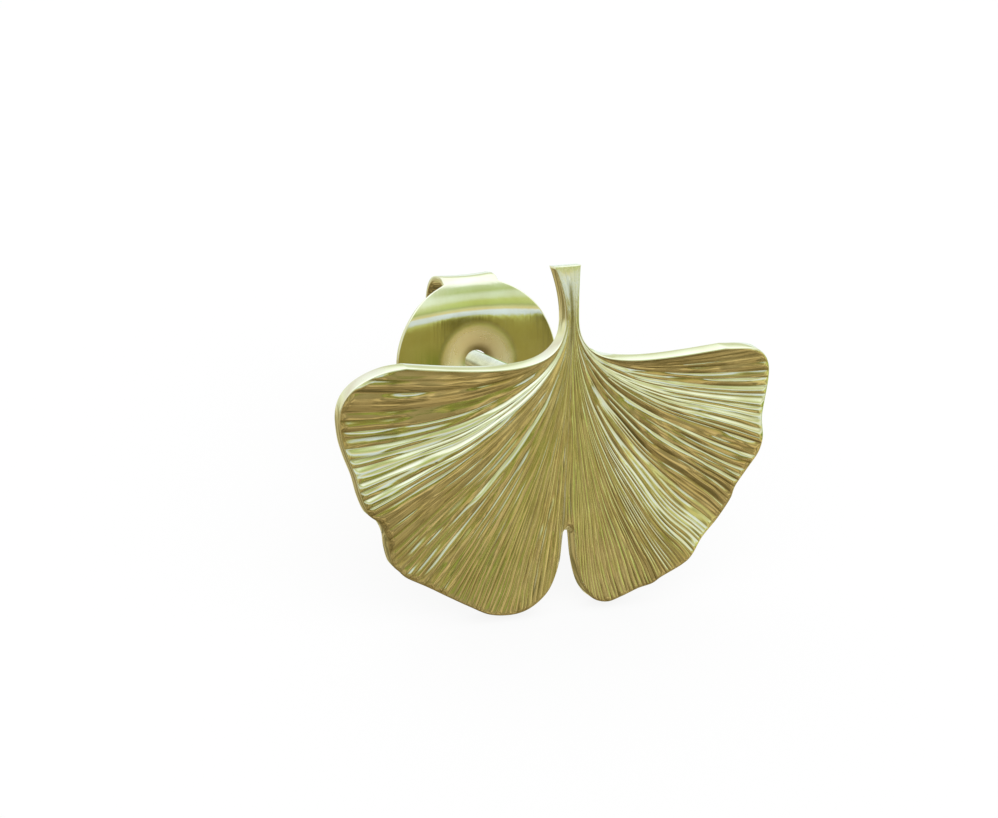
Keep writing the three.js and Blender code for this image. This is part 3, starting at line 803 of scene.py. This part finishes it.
# Painted reflection: the dish's gold is mixed towards this paler colour.
DISH_LIGHT_COLOUR = (1.0, 0.87, 0.62, 1)
stamped_gold, place, finish = gold_material("stamped_gold", STAMPED_LINE_DEPTH)
tree = stamped_gold.node_tree
dish_light_and_dullness = attribute(tree, "dish_light_and_dullness")
hole_rim_shade = attribute(tree, "painted_shade")
put(tree, finish.inputs["Lines"], scaled(tree, place, ROLLED_LINES))
put(tree, finish.inputs["Painted Shade"], hole_rim_shade)
# Painted reflection on the dish, less where the hole's rim gets painted shade.
dish_light_share = worked_out(tree, "SUBTRACT", dish_light_and_dullness, hole_rim_shade, clamp=True)
dish_lit_gold = mixed(tree, dish_light_share, finish.outputs["Colour"], DISH_LIGHT_COLOUR)
dull = worked_out(tree, "MULTIPLY_ADD", dish_light_and_dullness, COINED_DULLNESS, finish.outputs["Roughness"])
put(tree, tree.nodes["Principled BSDF"].inputs["Base Color"], dish_lit_gold)
put(tree, tree.nodes["Principled BSDF"].inputs["Roughness"], dull)
clutch.data.materials.append(stamped_gold)


# ---- table, room and camera ------------------------------------------------------------------
# A light table, white from below, which takes a faint shadow. Polished gold shows what stands
# round it, so its reflections get a room of their own: gardens and sunlit walls, as bands of
# colour over the height of the look. The pieces aren't mirrored in each other.
TABLE_SIZE = 4
GLASS_GREY = 0.05
GLASS_ROUGHNESS = 0.9
TABLE_GLOW = 0.856
bpy.ops.mesh.primitive_plane_add(size=TABLE_SIZE, location=(0, 0, 0))
table = bpy.context.object
table.name = "table"
table.visible_glossy = False
table_paint = bpy.data.materials.new("table_white")
table_paint.use_nodes = True
paint = table_paint.node_tree.nodes["Principled BSDF"]
paint.inputs["Base Color"].default_value = (GLASS_GREY, GLASS_GREY, GLASS_GREY, 1)
paint.inputs["Roughness"].default_value = GLASS_ROUGHNESS
paint.inputs["Specular IOR Level"].default_value = 0
paint.inputs["Emission Color"].default_value = (1, 1, 1, 1)
paint.inputs["Emission Strength"].default_value = TABLE_GLOW
table.data.materials.append(table_paint)
for piece in (leaf, post, clutch):
    piece.visible_glossy = False

# Colours over the height of a direction, from -1 straight down to 1 straight up.
LEFT_COLOURS = [
    (-1.0, (0.26, 0.22, 0.115)),
    (-0.6, (0.32, 0.27, 0.14)),
    (-0.42, (0.47, 0.41, 0.23)),
    (-0.32, (0.38, 0.35, 0.185)),
    (-0.24, (0.32, 0.31, 0.145)),
    (-0.16, (0.44, 0.38, 0.19)),
    (-0.08, (0.46, 0.42, 0.2)),
    (-0.02, (0.58, 0.72, 0.5)),
    (0.04, (0.61, 0.82, 1.2)),
    (0.16, (0.65, 0.78, 0.75)),
    (0.3, (0.45, 0.6, 0.35)),
    (0.5, (1.0, 1.25, 1.6)),
    (1.0, (1.05, 1.3, 1.8)),
]
FRONT_COLOURS = [
    (-1.0, (0.22, 0.185, 0.1)),
    (-0.7, (0.27, 0.225, 0.12)),
    (-0.5, (0.54, 0.465, 0.27)),
    (-0.4, (0.66, 0.585, 0.35)),
    (-0.34, (0.49, 0.41, 0.255)),
    (-0.3, (0.55, 0.475, 0.28)),
    (-0.26, (0.53, 0.47, 0.25)),
    (-0.2, (0.45, 0.405, 0.185)),
    (-0.14, (0.265, 0.262, 0.085)),
    (-0.08, (0.265, 0.272, 0.085)),
    (-0.03, (0.45, 0.55, 0.22)),
    (0.02, (0.6, 0.79, 1.15)),
    (0.12, (0.64, 0.84, 1.22)),
    (0.17, (0.64, 0.66, 0.45)),
    (0.24, (0.55, 0.64, 0.46)),
    (0.3, (0.36, 0.48, 0.28)),
    (0.36, (0.42, 0.58, 0.25)),
    (0.45, (0.48, 0.64, 0.3)),
    (0.51, (0.6, 0.8, 0.75)),
    (0.56, (0.6, 0.8, 0.8)),
    (0.62, (0.42, 0.59, 0.36)),
    (0.75, (0.47, 0.66, 0.5)),
    (0.84, (0.8, 1.0, 1.2)),
    (1.0, (1.05, 1.3, 1.8)),
]
RIGHT_COLOURS = [
    (-1.0, (0.26, 0.22, 0.12)),
    (-0.6, (0.36, 0.32, 0.17)),
    (-0.4, (0.6, 0.54, 0.3)),
    (-0.28, (0.8, 0.76, 0.44)),
    (-0.18, (0.7, 0.68, 0.38)),
    (-0.1, (0.64, 0.7, 0.36)),
    (-0.04, (0.75, 0.88, 0.6)),
    (0.02, (0.68, 0.88, 1.26)),
    (0.14, (0.74, 0.9, 0.86)),
    (0.25, (0.5, 0.62, 0.4)),
    (0.4, (0.9, 1.1, 1.2)),
    (1.0, (1.05, 1.3, 1.8)),
]
BACK_RIGHT_COLOURS = [
    (-1.0, (0.2, 0.17, 0.09)),
    (-0.5, (0.5, 0.45, 0.24)),
    (-0.32, (0.8, 0.75, 0.42)),
    (-0.23, (0.5, 0.62, 0.22)),
    (-0.1, (0.42, 0.6, 0.18)),
    (-0.04, (0.6, 0.8, 0.4)),
    (0.02, (0.8, 0.95, 1.02)),
    (0.1, (0.74, 0.88, 0.94)),
    (0.21, (0.76, 0.91, 1.08)),
    (0.27, (0.6, 0.72, 0.6)),
    (0.38, (0.58, 0.7, 0.58)),
    (0.47, (0.8, 0.98, 1.0)),
    (0.62, (1.0, 1.25, 1.5)),
    (1.0, (1.05, 1.3, 1.8)),
]
BACK_COLOURS = [
    (-1.0, (0.2, 0.17, 0.09)),
    (-0.7, (0.3, 0.26, 0.13)),
    (-0.42, (0.36, 0.32, 0.17)),
    (-0.27, (0.49, 0.455, 0.27)),
    (-0.2, (0.54, 0.515, 0.32)),
    (-0.12, (0.62, 0.63, 0.44)),
    (-0.03, (0.76, 0.88, 0.8)),
    (0.1, (0.72, 0.84, 0.78)),
    (0.17, (0.76, 0.9, 0.9)),
    (0.24, (0.74, 0.87, 0.96)),
    (0.4, (0.71, 0.8, 0.94)),
    (0.6, (0.85, 1.02, 1.3)),
    (1.0, (1.05, 1.3, 1.8)),
]
FAR_LEFT_COLOURS = [
    (-1.0, (0.3, 0.26, 0.14)),
    (-0.4, (0.62, 0.62, 0.45)),
    (-0.15, (0.7, 0.78, 0.86)),
    (1.0, (0.85, 1.02, 1.3)),
]

# Where one side's colours give way to the next: from, to, to the right of straight ahead. The
# back's do so by how far a direction turns towards the way that is given as its side.
FAR_LEFT_TO_LEFT = (-0.85, -0.55)
LEFT_TO_FRONT = (0.0, 0.3)
FRONT_TO_RIGHT = (0.4, 0.7)
BACK_SIDE = (0.35, 0.94, 0)
AHEAD_TO_BACK = (-0.55, 0.15)

# Streaks: uprights in the room, which lift and tint the bands, below the height where they end.
STREAKS = (11, 11, 3)
STREAK_DETAIL = 4
STREAK_EDGES = (0.3, 0.7)
STREAK_LIFT = 0.07
STREAK_END = (0.1, -0.1)
STREAK_TINT_EDGES = (0.4, 0.6)
STREAK_DARK = (0.57, 0.59, 0.52, 1)
STREAK_LIGHT = (1.26, 1.24, 1.16, 1)

# A hedge, which takes up a small part of the view ahead: its middle and size as directions, its
# leaves and the gaps between them, how soft its outline is, and its tint.
HEDGE_PLACE = (0.28, 0, -0.25)
HEDGE_SIZE = (0.13, 1, 0.11)
HEDGE_LEAVES = (30, 30, 18)
HEDGE_DETAIL = 2
HEDGE_GAPS = (0.34, 0.5)
HEDGE_EDGE = 0.35
HEDGE_TINT = (0.52, 0.76, 0.36, 1)
TABLE_LIGHT = 3

room = bpy.data.worlds.new("room")
bpy.context.scene.world = room
room.use_nodes = True
tree = room.node_tree
tree.nodes.clear()
turned = tree.nodes.new("ShaderNodeMapping")
put(tree, turned.inputs["Rotation"], (lean, 0, 0))
put(tree, turned.inputs["Vector"], tree.nodes.new("ShaderNodeTexCoord").outputs["Generated"])
direction = turned.outputs["Vector"]
split = tree.nodes.new("ShaderNodeSeparateXYZ")
put(tree, split.inputs["Vector"], direction)
sideways = split.outputs["X"]
upwards = split.outputs["Z"]

streaks = noise(tree, scaled(tree, direction, STREAKS), 1, STREAK_DETAIL)
streak_lift = ranged(tree, streaks, *STREAK_EDGES, -STREAK_LIFT, STREAK_LIFT)
low = ranged(tree, upwards, *STREAK_END)
height = ranged(tree, worked_out(tree, "MULTIPLY_ADD", streak_lift, low, upwards), -1, 1)


def colour_bands(colours):
    """The colours over the height of a direction."""
    ramp = tree.nodes.new("ShaderNodeValToRGB")
    stops = ramp.color_ramp.elements
    while len(stops) < len(colours):
        stops.new(0.5)
    for stop, (level, colour) in zip(stops, colours):
        stop.position = (level + 1) / 2
        stop.color = (*colour, 1)
    put(tree, ramp.inputs["Fac"], height)
    return ramp.outputs["Color"]


def share_of(value, low_and_high):
    return ranged(tree, value, *low_and_high, way="SMOOTHSTEP")


front = share_of(sideways, LEFT_TO_FRONT)
ahead_colour = mixed(tree, front, colour_bands(LEFT_COLOURS), colour_bands(FRONT_COLOURS))
right_share = share_of(sideways, FRONT_TO_RIGHT)
ahead_colour = mixed(tree, right_share, ahead_colour, colour_bands(RIGHT_COLOURS))
left_share = share_of(sideways, FAR_LEFT_TO_LEFT)
ahead_colour = mixed(tree, left_share, colour_bands(FAR_LEFT_COLOURS), ahead_colour)
back_colour = mixed(tree, front, colour_bands(BACK_COLOURS), colour_bands(BACK_RIGHT_COLOURS))
backwards = tree.nodes.new("ShaderNodeVectorMath")
backwards.operation = "DOT_PRODUCT"
put(tree, backwards.inputs[0], direction)
put(tree, backwards.inputs[1], BACK_SIDE)
back_share = share_of(backwards.outputs["Value"], AHEAD_TO_BACK)
room_colour = mixed(tree, back_share, ahead_colour, back_colour)

tint_share = tree.nodes.new("ShaderNodeMix")
put(tree, tint_share.inputs["Factor"], low)
put(tree, tint_share.inputs[2], 1)
put(tree, tint_share.inputs[3], share_of(streaks, STREAK_TINT_EDGES))
streak_tint = mixed(tree, tint_share.outputs[0], STREAK_DARK, STREAK_LIGHT)
room_colour = mixed(tree, 1, room_colour, streak_tint, "MULTIPLY")

hedge_place = tree.nodes.new("ShaderNodeMapping")
hedge_place.vector_type = "TEXTURE"
put(tree, hedge_place.inputs["Vector"], direction)
put(tree, hedge_place.inputs["Location"], HEDGE_PLACE)
put(tree, hedge_place.inputs["Scale"], HEDGE_SIZE)
hedge_shape = tree.nodes.new("ShaderNodeTexGradient")
hedge_shape.gradient_type = "SPHERICAL"
put(tree, hedge_shape.inputs["Vector"], scaled(tree, hedge_place.outputs["Vector"], (1, 0, 1)))
leaves = noise(tree, scaled(tree, direction, HEDGE_LEAVES), 1, HEDGE_DETAIL)
hedge_share = share_of(hedge_shape.outputs["Fac"], (0, HEDGE_EDGE))
hedge_share = worked_out(tree, "MULTIPLY", hedge_share, share_of(leaves, HEDGE_GAPS))
room_colour = mixed(tree, hedge_share, room_colour, HEDGE_TINT, "MULTIPLY")

glow = tree.nodes.new("ShaderNodeBackground")
put(tree, glow.inputs["Color"], room_colour)
plain = tree.nodes.new("ShaderNodeBackground")
put(tree, plain.inputs["Strength"], TABLE_LIGHT)
put(tree, plain.inputs["Color"], (1, 1, 1, 1))
either = tree.nodes.new("ShaderNodeMixShader")
put(tree, either.inputs["Fac"], tree.nodes.new("ShaderNodeLightPath").outputs["Is Glossy Ray"])
put(tree, either.inputs[1], plain.outputs["Background"])
put(tree, either.inputs[2], glow.outputs["Background"])
put(tree, tree.nodes.new("ShaderNodeOutputWorld").inputs["Surface"], either.outputs["Shader"])

# The camera's place and aim are in the leaf's own axes.
CAMERA_PLACE = Vector((-18.56, -42.06, 9.04))
CAMERA_TURN = math.radians(21.21)
CAMERA_DROP = math.radians(11.39)
PICTURE_WIDTH = 998
FOCAL_PIXELS = 1526
SENSOR_WIDTH = 36
camera_data = bpy.data.cameras.new("camera")
camera = bpy.data.objects.new("camera", camera_data)
bpy.context.collection.objects.link(camera)
ahead = Vector((
    math.sin(CAMERA_TURN) * math.cos(CAMERA_DROP),
    math.cos(CAMERA_TURN) * math.cos(CAMERA_DROP),
    -math.sin(CAMERA_DROP)))
right = Vector((math.cos(CAMERA_TURN), -math.sin(CAMERA_TURN), 0))
up = right.cross(ahead)
looking = Matrix((right, up, -ahead)).transposed().to_4x4()
in_place = Matrix.Translation(to_frame @ CAMERA_PLACE)
camera.matrix_world = in_place @ Matrix.Rotation(-lean, 4, "X") @ looking
camera_data.sensor_width = SENSOR_WIDTH
camera_data.lens = FOCAL_PIXELS / PICTURE_WIDTH * SENSOR_WIDTH
camera_data.clip_start = MM
bpy.context.scene.camera = camera
bpy.context.scene.view_settings.view_transform = "Standard"
